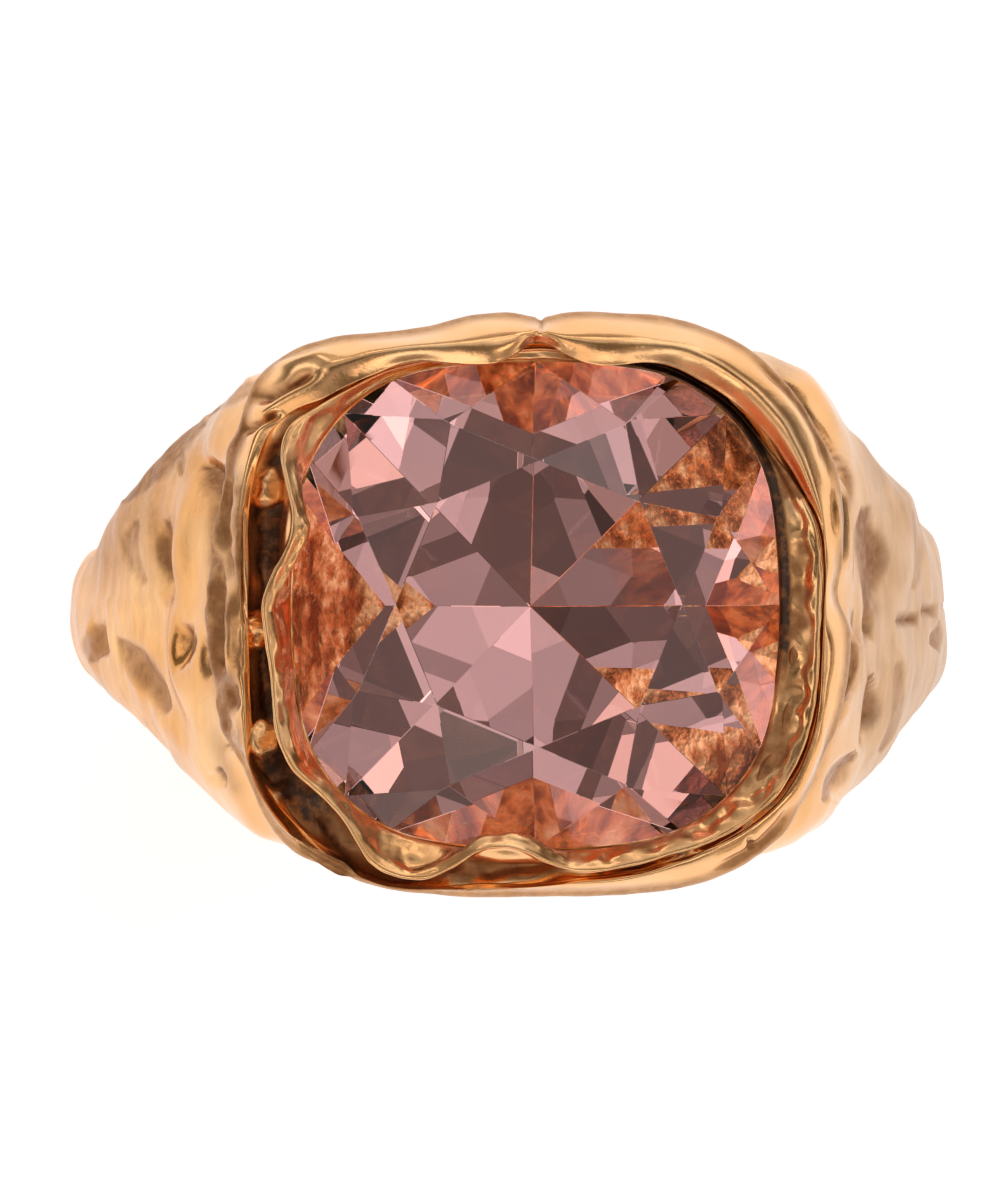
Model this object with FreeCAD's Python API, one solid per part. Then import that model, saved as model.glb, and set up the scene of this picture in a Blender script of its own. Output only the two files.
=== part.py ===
import FreeCAD, Part
import math
import os

# A cocktail ring: a cast shank with flaring shoulders, a heavy rolled frame
# around the head, a thin setting collar with a cushion-cut crystal in it, and
# a curved plate that closes the underside. Millimetres, +Z up through the
# stone, finger along Y, origin at the centre of the finger bore.

# ---- driving dimensions ----
BORE_R = 8.7                 # finger bore, 17.4 mm across
PLATE_T = 0.5                # curved plate under the stone
STONE_HALF = 5.97            # half the stone's width, measured across its sides
STONE_DIAG = 6.62            # from the stone's axis to its corner
STONE_SIDE_R = 17.0          # bow of the stone's sides
CROWN_H = 1.6
GIRDLE_H = 0.3
PAVILION_H = 5.6
MAIN_REACH = 6.41            # stone's reach square to a pavilion main
CULET_GAP = 0.15             # culet above the back plate
TABLE_R = 3.5                # table corners from the axis
STAR_TIP = (2.19, 4.42)      # where a star facet's point falls, in plan
GIRDLE_BREAK = (3.51, 5.49)  # where two upper girdle facets meet on the outline
LOWER_GIRDLE_REACH = 5.2     # how far in the lower girdle facets run, from the axis
MAIN_TURN = 22.5             # degrees from the stone's side to a pavilion main
STONE_STOCK = 0.5            # rough left under the culet, ground away later

COLLAR_T = 0.5               # wall of the setting collar
COLLAR_BOTTOM = 12.4
LIP_REACH = 0.3              # how far the burnished lip covers the stone
LIP_H = 0.55                 # lip above the top of the girdle
LEDGE_W = 1.3                # seat ledge, in from the collar's inside
# dips in the lip's wavy edge: angle above the X axis, half width, depth
LIP_DIPS = [
    (90, 0.75, 0.35),
    (52, 1.7, 0.30),
    (128, 1.5, 0.30),
    (178, 2.0, 0.25),
    (262, 1.6, 0.40),
    (318, 1.4, 0.25),
]
SEAT_IN_DROP = 1.6           # seat below the girdle, at the ledge's inner edge
SEAT_OUT_DROP = 0.66         # and at its outer edge
SEAT_OUT_INSET = 0.35        # the outer edge, in from the collar's inside

HEAD_HALF = 7.2              # frame around the head, outside, at its top
HEAD_DIAG = 8.5
HEAD_SIDE_R = 26.0
HEAD_FOOT_HALF = 6.2         # the same frame where it stands over the finger
HEAD_FOOT_DIAG = 7.3
HEAD_FOOT_SIDE_R = 22.0
HEAD_FOOT_Z = 7.8
HEAD_TOP_Z = 15.3
HEAD_ROUND = 0.3             # rounding on the frame's top edge

SLOT_W = 1.5                 # slot beside the collar, -X side, out through the frame
SLOT_Y = (-4.3, 3.2)
SLOT_FLOOR_Z = 12.8
TACK_Y = (-3.3, -0.6, 2.9)   # solder tacks that bridge the slot
TACK_L = 0.35
TACK_H = 0.7

# angle above the X axis, outer radius, half width: one side of the shank
SHANK_STATIONS = [
    (-90, 10.30, 2.25),
    (-62, 10.40, 2.25),
    (-36, 10.65, 2.22),
    (-12, 11.05, 2.20),
    (8, 11.25, 2.25),
    (24, 11.50, 2.55),
    (38, 12.15, 3.40),
    (50, 13.35, 4.35),
    (62, 15.40, 5.60),
    (68, 16.30, 6.00),
]
SHANK_CROWN = 0.3            # how much the outside bows over its width
SHANK_INSIDE = 0.4           # stock left inside the bore, bored out later
SHANK_EDGE_R = 0.5           # rounding of the shank's edges, where it is thick
SHANK_EDGE_SHARE = 0.3       # and as a share of its thickness, where it is thin

CLEAR = 20.0                 # half length of the blocks and cylinders that only cut
OVERLAP = 0.5                # how far a cut runs into what it opens on to

# ---- heights worked out from the above ----
CULET_Z = BORE_R + PLATE_T + CULET_GAP
GIRDLE_Z = CULET_Z + PAVILION_H
GIRDLE_TOP_Z = GIRDLE_Z + GIRDLE_H
TABLE_Z = GIRDLE_TOP_Z + CROWN_H
LIP_TOP_Z = GIRDLE_TOP_Z + LIP_H


def vec(x, y, z):
    return FreeCAD.Vector(x, y, z)


def cushion_wire(half, diagonal, side_r, z, grow=0.0):
    """Closed outline of four bowed sides joined by tangent corner arcs."""
    rise = side_r - half
    run = side_r - diagonal
    centre = (rise ** 2 - run ** 2) / (2 * math.sqrt(2) * run - 2 * rise)
    corner_r = diagonal - centre * math.sqrt(2) + grow
    side = side_r + grow
    turn = math.atan2(centre, centre + rise)
    edges = []
    for quarter in range(4):
        base = quarter * math.pi / 2
        edges.append(arc_on(vec(-rise, 0, z), side, -turn, turn, base))
        start = turn
        end = math.pi / 2 - turn
        edges.append(arc_on(vec(centre, centre, z), corner_r, start, end, base))
    return Part.Wire(edges)


def arc_on(centre, radius, start, end, base):
    """Arc about a centre that is itself turned by base about the Z axis."""
    points = []
    for angle in (start, (start + end) / 2, end):
        x = centre.x + radius * math.cos(angle)
        y = centre.y + radius * math.sin(angle)
        turned_x = x * math.cos(base) - y * math.sin(base)
        turned_y = x * math.sin(base) + y * math.cos(base)
        points.append(vec(turned_x, turned_y, centre.z))
    return Part.Arc(*points).toShape()


def stone_prism(z_low, z_high, grow=0.0):
    wire = cushion_wire(STONE_HALF, STONE_DIAG, STONE_SIDE_R, z_low, grow)
    return Part.Face(wire).extrude(vec(0, 0, z_high - z_low))


def bore_cylinder(radius):
    return Part.makeCylinder(radius, 2 * CLEAR, vec(0, -CLEAR, 0), vec(0, 1, 0))


def outer_block(p1, p2, p3):
    """Everything beyond the plane through three points, away from the stone."""
    normal = (p2 - p1).cross(p3 - p1)
    if normal.dot(p1 - vec(0, 0, GIRDLE_Z)) < 0:
        normal = normal.negative()
    block = Part.makeBox(2 * CLEAR, 2 * CLEAR, CLEAR, vec(-CLEAR, -CLEAR, 0))
    turn = FreeCAD.Rotation(vec(0, 0, 1), normal)
    block.Placement = FreeCAD.Placement(p1, turn)
    return block


def eight_ways(points):
    """One facet's three points, mirrored and turned to all eight places."""
    copies = []
    for quarter in range(4):
        turn = FreeCAD.Rotation(vec(0, 0, 1), quarter * 90)
        for side in (1, -1):
            copies.append([turn.multVec(vec(side * p.x, p.y, p.z)) for p in points])
    return copies


def make_crystal():
    """Cushion stone: brilliant crown over eight pavilion mains."""
    half_table = TABLE_R / math.sqrt(2)
    corner = STONE_DIAG / math.sqrt(2)
    table_side = vec(0, TABLE_R, TABLE_Z)
    table_corner = vec(half_table, half_table, TABLE_Z)
    star_x, star_y = STAR_TIP
    star_h = CROWN_H * (STONE_HALF - star_y) / (STONE_HALF - TABLE_R)
    star_tip = vec(star_x, star_y, GIRDLE_TOP_Z + star_h)
    side_mid = vec(0, STONE_HALF, GIRDLE_TOP_Z)
    girdle_break = vec(*GIRDLE_BREAK, GIRDLE_TOP_Z)
    girdle_corner = vec(corner, corner, GIRDLE_TOP_Z)
    down = vec(0, 0, -GIRDLE_H)
    culet = vec(0, 0, CULET_Z)
    main_slope = PAVILION_H / MAIN_REACH
    main_az = math.radians(MAIN_TURN)
    reach = LOWER_GIRDLE_REACH
    main_z = CULET_Z + main_slope * reach
    main_point = vec(reach * math.sin(main_az), reach * math.cos(main_az), main_z)
    beside = vec(main_point.x + math.cos(main_az), main_point.y - math.sin(main_az), main_z)
    facets = [
        (table_side, star_tip, side_mid),
        (table_corner, star_tip, girdle_corner),
        (table_side, table_corner, star_tip),
        (side_mid, star_tip, girdle_break),
        (girdle_break, star_tip, girdle_corner),
        (side_mid + down, girdle_break + down, main_point),
        (culet, main_point, beside),
    ]
    stone = stone_prism(CULET_Z - STONE_STOCK, TABLE_Z)
    for facet in facets:
        for points in eight_ways(facet):
            stone = stone.cut(outer_block(*points))
    return stone


def shank_section(angle, outer_r, half_w):
    """Rounded section of the shank in the plane that holds the finger axis."""
    inner_r = BORE_R - SHANK_INSIDE
    corner = min(SHANK_EDGE_R, SHANK_EDGE_SHARE * (outer_r - BORE_R))
    shoulder_r = outer_r - SHANK_CROWN
    soft = corner * (1 - math.sqrt(0.5))

    def at(y, radius):
        turn = math.radians(angle)
        return vec(radius * math.cos(turn), y, radius * math.sin(turn))

    def corner_arc(side):
        low = at(side * half_w, shoulder_r - corner)
        mid = at(side * (half_w - soft), shoulder_r - soft)
        high = at(side * (half_w - corner), shoulder_r)
        return low, mid, high

    left = corner_arc(-1)
    right = corner_arc(1)
    foot_left = at(-half_w, inner_r)
    foot_right = at(half_w, inner_r)
    edges = [
        Part.makeLine(foot_left, left[0]),
        Part.Arc(*left).toShape(),
        Part.Arc(left[2], at(0, outer_r), right[2]).toShape(),
        Part.Arc(right[2], right[1], right[0]).toShape(),
        Part.makeLine(right[0], foot_right),
        Part.makeLine(foot_right, foot_left),
    ]
    return Part.Wire(edges)


def shank_stations():
    """Stations from the right shoulder, under the finger, to the left one."""
    right = list(reversed(SHANK_STATIONS))
    left = [(-180 - angle, radius, width) for angle, radius, width in SHANK_STATIONS[1:]]
    return right + left


def head_solid():
    foot = cushion_wire(HEAD_FOOT_HALF, HEAD_FOOT_DIAG, HEAD_FOOT_SIDE_R, HEAD_FOOT_Z)
    top = cushion_wire(HEAD_HALF, HEAD_DIAG, HEAD_SIDE_R, HEAD_TOP_Z)
    solid = Part.makeLoft([foot, top], True, True)
    rim = [e for e in solid.Edges if e.BoundBox.ZMin > HEAD_TOP_Z - 0.01]
    solid = solid.makeFillet(HEAD_ROUND, rim)
    return solid.cut(bore_cylinder(BORE_R))


def make_shank():
    """Cast band and shoulders, cut away where the head stands."""
    wires = [shank_section(*station) for station in shank_stations()]
    band = Part.makeLoft(wires, True, False)
    band = band.cut(bore_cylinder(BORE_R)).cut(head_solid())
    return max(band.Solids, key=lambda solid: solid.Volume)


def slot_block():
    outside = STONE_HALF + COLLAR_T
    length = SLOT_Y[1] - SLOT_Y[0]
    corner = vec(-outside - SLOT_W, SLOT_Y[0], SLOT_FLOOR_Z)
    return Part.makeBox(SLOT_W + OVERLAP, length, CLEAR, corner)


def make_head_frame():
    """Heavy rolled border: open above for the collar, below for the plate."""
    frame = head_solid().cut(stone_prism(COLLAR_BOTTOM, CLEAR, COLLAR_T))
    frame = frame.cut(stone_prism(0, COLLAR_BOTTOM + 1, -LEDGE_W))
    return frame.cut(slot_block())


def lip_dip(angle, half_w, depth):
    """Roller that lies across the lip and cuts one shallow dip in its edge."""
    radius = (half_w ** 2 + depth ** 2) / (2 * depth)
    turn = math.radians(angle)
    outward = vec(math.cos(turn), math.sin(turn), 0)
    start = vec(0, 0, LIP_TOP_Z + radius - depth)
    return Part.makeCylinder(radius, CLEAR, start, outward)


def make_bezel_collar(crystal):
    """Thin collar around the stone, with its lip burnished over the crown."""
    collar = stone_prism(COLLAR_BOTTOM, LIP_TOP_Z, COLLAR_T)
    collar = collar.cut(stone_prism(COLLAR_BOTTOM - 1, GIRDLE_TOP_Z))
    collar = collar.cut(stone_prism(GIRDLE_TOP_Z - 1, LIP_TOP_Z + 1, -LIP_REACH))
    for dip in LIP_DIPS:
        collar = collar.cut(lip_dip(*dip))
    return collar.cut(crystal)


def seat_cone():
    """Sloping hollow that the stone's underside sits over."""
    inner = (STONE_HALF, STONE_DIAG, STONE_SIDE_R, GIRDLE_Z - SEAT_IN_DROP, -LEDGE_W)
    outer = (STONE_HALF, STONE_DIAG, STONE_SIDE_R, GIRDLE_Z - SEAT_OUT_DROP, -SEAT_OUT_INSET)
    return Part.makeLoft([cushion_wire(*inner), cushion_wire(*outer)], True, True)


def make_seat_ledge():
    ring = stone_prism(COLLAR_BOTTOM, GIRDLE_Z - SEAT_OUT_DROP)
    ring = ring.cut(stone_prism(COLLAR_BOTTOM - 1, GIRDLE_Z, -LEDGE_W))
    return ring.cut(seat_cone())


def make_cement(crystal):
    """Wedge of cement that fills the room between the seat and the stone."""
    bed = seat_cone().cut(stone_prism(COLLAR_BOTTOM, GIRDLE_Z, -LEDGE_W))
    return bed.cut(crystal)


def make_back_plate():
    """Curved plate that closes the setting and carries on the bore's wall."""
    shell = bore_cylinder(BORE_R + PLATE_T).cut(bore_cylinder(BORE_R))
    return shell.common(stone_prism(0, CLEAR, -LEDGE_W))


def make_solder_tacks():
    """Beads of solder that bridge the slot between collar and frame."""
    outside = STONE_HALF + COLLAR_T
    tacks = []
    for y in TACK_Y:
        corner = vec(-outside - SLOT_W, y - TACK_L / 2, SLOT_FLOOR_Z)
        bead = Part.makeBox(SLOT_W + OVERLAP, TACK_L, TACK_H, corner)
        bead = bead.common(head_solid())
        bead = bead.cut(stone_prism(COLLAR_BOTTOM, CLEAR, COLLAR_T))
        tacks.append(bead)
    return Part.makeCompound(tacks)


def export(shape, name):
    shape.exportStep("parts/" + name + ".step")
    box = shape.BoundBox
    size = [round(v, 2) for v in (box.XMin, box.YMin, box.ZMin, box.XMax, box.YMax, box.ZMax)]
    print(name, len(shape.Solids), shape.isValid(), round(shape.Volume, 2), size)


def main():
    os.makedirs("parts", exist_ok=True)
    crystal = make_crystal()
    export(make_shank(), "shank")
    export(make_head_frame(), "head_frame")
    export(make_bezel_collar(crystal), "bezel_collar")
    export(make_seat_ledge(), "seat_ledge")
    export(make_back_plate(), "back_plate")
    export(crystal, "crystal")
    export(make_cement(crystal), "cement")
    export(make_solder_tacks(), "solder_tacks")


main()
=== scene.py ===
import math

import bmesh
import bpy
import numpy as np
from mathutils import Matrix, Vector, noise


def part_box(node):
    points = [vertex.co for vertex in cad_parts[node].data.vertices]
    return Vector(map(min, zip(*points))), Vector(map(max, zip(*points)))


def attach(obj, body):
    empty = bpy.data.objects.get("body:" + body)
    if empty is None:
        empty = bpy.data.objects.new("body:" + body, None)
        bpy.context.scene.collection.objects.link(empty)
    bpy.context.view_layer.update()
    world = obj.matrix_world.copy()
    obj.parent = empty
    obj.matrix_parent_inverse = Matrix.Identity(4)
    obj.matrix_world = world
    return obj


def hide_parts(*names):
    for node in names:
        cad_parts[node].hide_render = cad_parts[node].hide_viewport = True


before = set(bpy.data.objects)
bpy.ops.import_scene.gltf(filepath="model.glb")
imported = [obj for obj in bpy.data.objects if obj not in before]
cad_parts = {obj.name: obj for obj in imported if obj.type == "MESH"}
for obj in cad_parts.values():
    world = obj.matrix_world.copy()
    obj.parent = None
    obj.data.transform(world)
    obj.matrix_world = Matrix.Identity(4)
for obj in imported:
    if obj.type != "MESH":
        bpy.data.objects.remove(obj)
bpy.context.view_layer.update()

# The ring is modelled in millimetres about the centre of the finger bore, with
# +Z up through the stone and the finger along Y, and is scaled to metres last.
MM = 0.001

stone_low, stone_high = (np.array(corner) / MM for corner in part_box("crystal"))
shank_low = np.array(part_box("shank")[0]) / MM

BORE_R = 8.7                 # the finger bore
TABLE_Z = stone_high[2]
CULET_Z = stone_low[2]
STONE_HALF = (stone_high[0] - stone_low[0]) / 2
STONE_DIAG = 6.62            # the stone's outline from its axis, at the corners
STONE_SIDE_R = 17.0          # radius of the outline's bowed sides
CROWN_H = 1.6
GIRDLE_H = 0.3
GIRDLE_TOP_Z = TABLE_Z - CROWN_H
GIRDLE_Z = GIRDLE_TOP_Z - GIRDLE_H
VIEW_DISTANCE = 350.0
VIEW_LEAN = (2.4, 0.8)       # degrees from upright, towards -X and -Y
FULL_TURN = 2 * math.pi


# ---------------------------------------------------------------- curves

def blend(t, start, leave, end, arrive):
    """A cubic from start to end, which leaves and arrives at the given slopes."""
    return ((1 + 2 * t) * (1 - t) ** 2 * start + t * (1 - t) ** 2 * leave
            + t * t * (3 - 2 * t) * end + t * t * (t - 1) * arrive)


def smooth_through(knots, values, at, period=None):
    """Values on a smooth curve through the knots, closed if a period is given."""
    knots = np.asarray(knots, float)
    values = np.asarray(values, float)
    if period:
        order = np.argsort(knots)
        knots = knots[order]
        values = values[order]
        knots = np.concatenate([knots[-3:] - period, knots, knots[:3] + period])
        values = np.concatenate([values[-3:], values, values[:3]])
    slopes = np.gradient(values, knots, axis=0)
    span = np.clip(np.searchsorted(knots, at, side="right") - 1, 0, len(knots) - 2)
    width = knots[span + 1] - knots[span]
    t = np.clip((at - knots[span]) / width, 0, 1)
    if values.ndim > 1:
        t = t[:, None]
        width = width[:, None]
    return blend(t, values[span], width * slopes[span],
                 values[span + 1], width * slopes[span + 1])


def rising(values, low, high):
    """0 up to low, 1 from high on, and even between them; high may be the lower one."""
    return np.clip((values - low) / (high - low), 0, 1)


def reach_of(points):
    """Distance in plan of each point from the stone's axis."""
    points = np.asarray(points, float)
    return np.hypot(points[:, 0], points[:, 1])


def turn_of(points):
    """Angle of each point round the stone's axis, from 0 at +X to a full turn."""
    points = np.asarray(points, float)
    return np.arctan2(points[:, 1], points[:, 0]) % FULL_TURN


def around_stone(line, angles):
    """Radius and height at each angle of a closed line of x, y, z points."""
    line = np.asarray(line, float)
    polar = np.stack([reach_of(line), line[:, 2]], axis=1)
    return smooth_through(turn_of(line), polar, angles, FULL_TURN)


def reach_beside(line, points):
    """The line's distance from the stone's axis at the angle of each point."""
    return around_stone(line, turn_of(points))[:, 0]


def at_turn(table, x, y):
    """What a table of (degrees round the stone, value) says at the angle of x, y."""
    degrees, values = np.array(table, float).T
    turn = math.degrees(math.atan2(y, x)) % 360
    return float(smooth_through(degrees, values, np.array([turn]), 360)[0])


def sections(rows, u, v):
    """Points of a skin whose sections pass through rows: (closed line around the stone,
    how sharply the section bends there, from 0 to 1)."""
    lines, sharp = zip(*rows)
    angles = (u * FULL_TURN) % FULL_TURN
    stack = np.array([around_stone(line, angles) for line in lines])
    count = len(lines)
    place = (v % 1.0) * count
    low = np.floor(place).astype(int) % count
    t = (place - np.floor(place))[:, None]
    column = np.arange(len(u))
    sharp = np.asarray(sharp, float)

    def line(step):
        return stack[(low + step) % count, column]

    def pull(step):
        return (1 - sharp[(low + step) % count])[:, None]

    leave = (line(1) - line(-1)) * 0.5 * pull(0)
    arrive = (line(2) - line(0)) * 0.5 * pull(1)
    polar = blend(t, line(0), leave, line(1), arrive)
    x = polar[:, 0] * np.cos(angles)
    y = polar[:, 0] * np.sin(angles)
    return np.stack([x, y, polar[:, 1]], axis=1)


# ---------------------------------------------------------------- skins

WELD_MM = 0.0004             # points closer than this are made one
STROKE_END = 0.15            # height left at a stroke's ends
STROKE_FADE = 4.0            # a stroke is at full height from a quarter of its length
STROKE_BELL = 1.6            # steepness of a stroke's sides
LEAF_TIP = 0.3               # a leaf's width at its ends, as a share
LEAF_EDGE = 6                # firmness of a leaf's edge


def read_points(bm):
    bm.normal_update()
    points = np.array([vert.co for vert in bm.verts])
    normals = np.array([vert.normal for vert in bm.verts])
    return points, normals


def write_points(bm, points):
    for vert, point in zip(bm.verts, points):
        vert.co = point


def rolled_skin(columns, rows, shape):
    """A flat grid rolled up so that its edges meet, as a closed skin."""
    bm = bmesh.new()
    bmesh.ops.create_grid(bm, x_segments=columns, y_segments=rows, size=0.5)
    flat = np.array([vert.co for vert in bm.verts])
    write_points(bm, shape(flat[:, 0] + 0.5, flat[:, 1] + 0.5))
    bmesh.ops.remove_doubles(bm, verts=bm.verts, dist=WELD_MM)
    bmesh.ops.recalc_face_normals(bm, faces=bm.faces)
    return bm


def near_path(points, path):
    """Distance in plan from each point to a path of x, y points, and how far along."""
    path = np.asarray(path, float)
    best = np.full(len(points), 1e9)
    along = np.zeros(len(points))
    for step, (start, end) in enumerate(zip(path[:-1], path[1:])):
        run = end - start
        t = np.clip(((points[:, :2] - start) @ run) / max(run @ run, 1e-9), 0, 1)
        away = np.hypot(*(points[:, :2] - (start + t[:, None] * run)).T)
        nearer = away < best
        best = np.where(nearer, away, best)
        along = np.where(nearer, (step + t) / (len(path) - 1), along)
    return best, along


def rounded_path(path):
    """The same path with soft bends."""
    path = np.asarray(path, float)
    if len(path) < 3:
        return path
    knots = np.arange(len(path))
    return smooth_through(knots, path, np.linspace(0, len(path) - 1, 4 * len(path)))


def as_seen(points):
    """The points in plan as they look from above, a little to the left of upright."""
    depth = GIRDLE_TOP_Z - points[:, 2]
    shrink = 1 + depth / VIEW_DISTANCE
    lean = np.tan(np.radians(VIEW_LEAN))
    return (points[:, :2] - depth[:, None] * lean) / shrink[:, None]


def worked(points, strokes):
    """Height that hand-tool strokes add: (path, half width, height), fading at their ends."""
    total = np.zeros(len(points))
    points = as_seen(points)
    for path, half_width, height in strokes:
        away, along = near_path(points, rounded_path(path))
        fade = np.clip(np.minimum(along, 1 - along) * STROKE_FADE + STROKE_END, 0, 1)
        total += height * fade * np.exp(-(away / half_width) ** 2 * STROKE_BELL)
    return total


def leaves(points, marks):
    """Strength of leaf-shaped marks with firm edges: (path, half width, strength)."""
    total = np.zeros(len(points))
    points = as_seen(points)
    for path, half_width, strength in marks:
        away, along = near_path(points, rounded_path(path))
        bulge = np.sin(math.pi * np.clip(along, 0.02, 0.98))
        wide = half_width * (LEAF_TIP + (1 - LEAF_TIP) * bulge)
        total = np.maximum(total, strength * np.exp(-(away / wide) ** LEAF_EDGE))
    return total


def rough(points, size, seed, stretch=(1, 1, 1)):
    """Soft noise from about -1 to 1, with lumps of the given size."""
    shift = Vector((seed * 7.3, seed * 3.1, seed * 5.7))
    scale = [s / size for s in stretch]
    return np.array([
        noise.noise(Vector((p[0] * scale[0], p[1] * scale[1], p[2] * scale[2])) + shift)
        for p in points])


def clear_bore(points, gap=0.02):
    """Push anything inside the finger bore out to its wall."""
    radius = np.hypot(points[:, 0], points[:, 2])
    grow = np.maximum(1, (BORE_R + gap) / np.maximum(radius, 1e-6))
    return points * np.stack([grow, np.ones(len(points)), grow], axis=1)


def as_mesh(bm, name, material):
    mesh = bpy.data.meshes.new(name)
    bm.to_mesh(mesh)
    bm.free()
    mesh.materials.append(material)
    return mesh


def into_scene(name, data):
    thing = bpy.data.objects.new(name, data)
    bpy.context.scene.collection.objects.link(thing)
    return thing


def as_piece(bm, name, material, stands_for, tints=None, smooth=True):
    """Finish a millimetre mesh as a piece of the ring, in metres."""
    bmesh.ops.scale(bm, vec=(MM, MM, MM), verts=bm.verts)
    mesh = as_mesh(bm, name, material)
    if tints is not None:
        layer = mesh.attributes.new("patina_and_shade", "FLOAT", "POINT")
        layer.data.foreach_set("value", np.asarray(tints, np.float32))
    mesh.polygons.foreach_set("use_smooth", [smooth] * len(mesh.polygons))
    piece = into_scene(name, mesh)
    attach(piece, "root")
    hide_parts(stands_for)
    return piece


# ---------------------------------------------------------------- materials

class Recipe:
    """The nodes of a material or of the studio's walls, joined up as they are added."""

    def __init__(self, holder):
        holder.use_nodes = True
        self.holder = holder
        self.nodes = holder.node_tree.nodes
        self.links = holder.node_tree.links
        self.shader = self.nodes.get("Principled BSDF") or self.nodes.get("Background")

    def join(self, value, socket):
        """Lead a node's output to a socket, or set the socket to a plain value."""
        if isinstance(value, bpy.types.NodeSocket):
            self.links.new(value, socket)
        else:
            socket.default_value = value

    def set(self, **values):
        """Join up the shader's own inputs, by name."""
        for name, value in values.items():
            self.join(value, self.shader.inputs[name.replace("_", " ")])

    def add(self, kind, settings=None, **inputs):
        """A node with its settings, and its inputs by name or by number, as in _0."""
        node = self.nodes.new(kind)
        for key, value in (settings or {}).items():
            setattr(node, key, value)
        for key, value in inputs.items():
            key = key.replace("_", " ")
            self.join(value, node.inputs[int(key[1:]) if key[1:].isdigit() else key])
        return node

    def here(self, stretch=(1, 1, 1)):
        place = self.add("ShaderNodeTexCoord").outputs["Object"]
        return self.add("ShaderNodeMapping", Vector=place, Scale=stretch).outputs[0]

    def noise(self, lump_mm, detail=3.0, stretch=(1, 1, 1), soft=0.5):
        return self.add("ShaderNodeTexNoise", Vector=self.here(stretch), Scale=1 / (lump_mm * MM),
                        Detail=detail, Roughness=soft).outputs["Fac"]

    def ramp(self, value, stops):
        node = self.add("ShaderNodeValToRGB", Fac=value)
        band = node.color_ramp
        while len(band.elements) < len(stops):
            band.elements.new(0.5)
        for element, (place, colour) in zip(band.elements, stops):
            element.position = place
            element.color = (*colour, 1)
        return node.outputs["Color"]

    def spread(self, value, low, high, from_low=0.0, from_high=1.0, kind="LINEAR"):
        node = self.add("ShaderNodeMapRange", {"interpolation_type": kind}, Value=value)
        for name, number in (("From Min", from_low), ("From Max", from_high),
                             ("To Min", low), ("To Max", high)):
            node.inputs[name].default_value = number
        return node.outputs["Result"]

    def mix(self, factor, first, second, blend="MIX"):
        first, second = ((*tone, 1) if isinstance(tone, tuple) else tone for tone in (first, second))
        return self.add("ShaderNodeMix", {"data_type": "RGBA", "blend_type": blend},
                        _0=factor, _6=first, _7=second).outputs[2]

    def maths(self, operation, first, second):
        return self.add("ShaderNodeMath", {"operation": operation}, _0=first, _1=second).outputs[0]

    def bump(self, height, depth_mm, strength, under=None):
        inputs = {} if under is None else {"Normal": under}
        return self.add("ShaderNodeBump", Height=height, Distance=depth_mm * MM,
                        Strength=strength, **inputs).outputs["Normal"]


# colours along the clouds in the gold, from its dark patches to its pale ones
HEAD_GOLD = [(0.30, (0.87, 0.45, 0.18)), (0.50, (0.95, 0.53, 0.24)), (0.70, (0.98, 0.62, 0.32))]
LEFT_GOLD = [(0.32, (0.74, 0.34, 0.105)), (0.50, (0.90, 0.46, 0.165)), (0.68, (0.97, 0.56, 0.24))]
RIGHT_GOLD = [(0.32, (0.60, 0.35, 0.17)), (0.50, (0.70, 0.43, 0.24)), (0.68, (0.78, 0.51, 0.31))]
POLISH_STREAKS = [(0.36, (0.84, 0.80, 0.76)), (0.60, (1.0, 1.0, 1.0))]
# patina in the hollows and painted shade share the brown; the black is painted shade in the deepest
# grooves and beside the stone
DIRT_AND_SHADE_BROWN = (0.34, 0.138, 0.045)
PAINTED_SHADE_BLACK = (0.075, 0.042, 0.028)
SHOULDER_FROM = (7.3, 8.8)   # millimetres to either side, where the finish changes
LEFT_TO_RIGHT = (-6.0, 8.0)  # millimetres, over which the shoulders' finish changes


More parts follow.
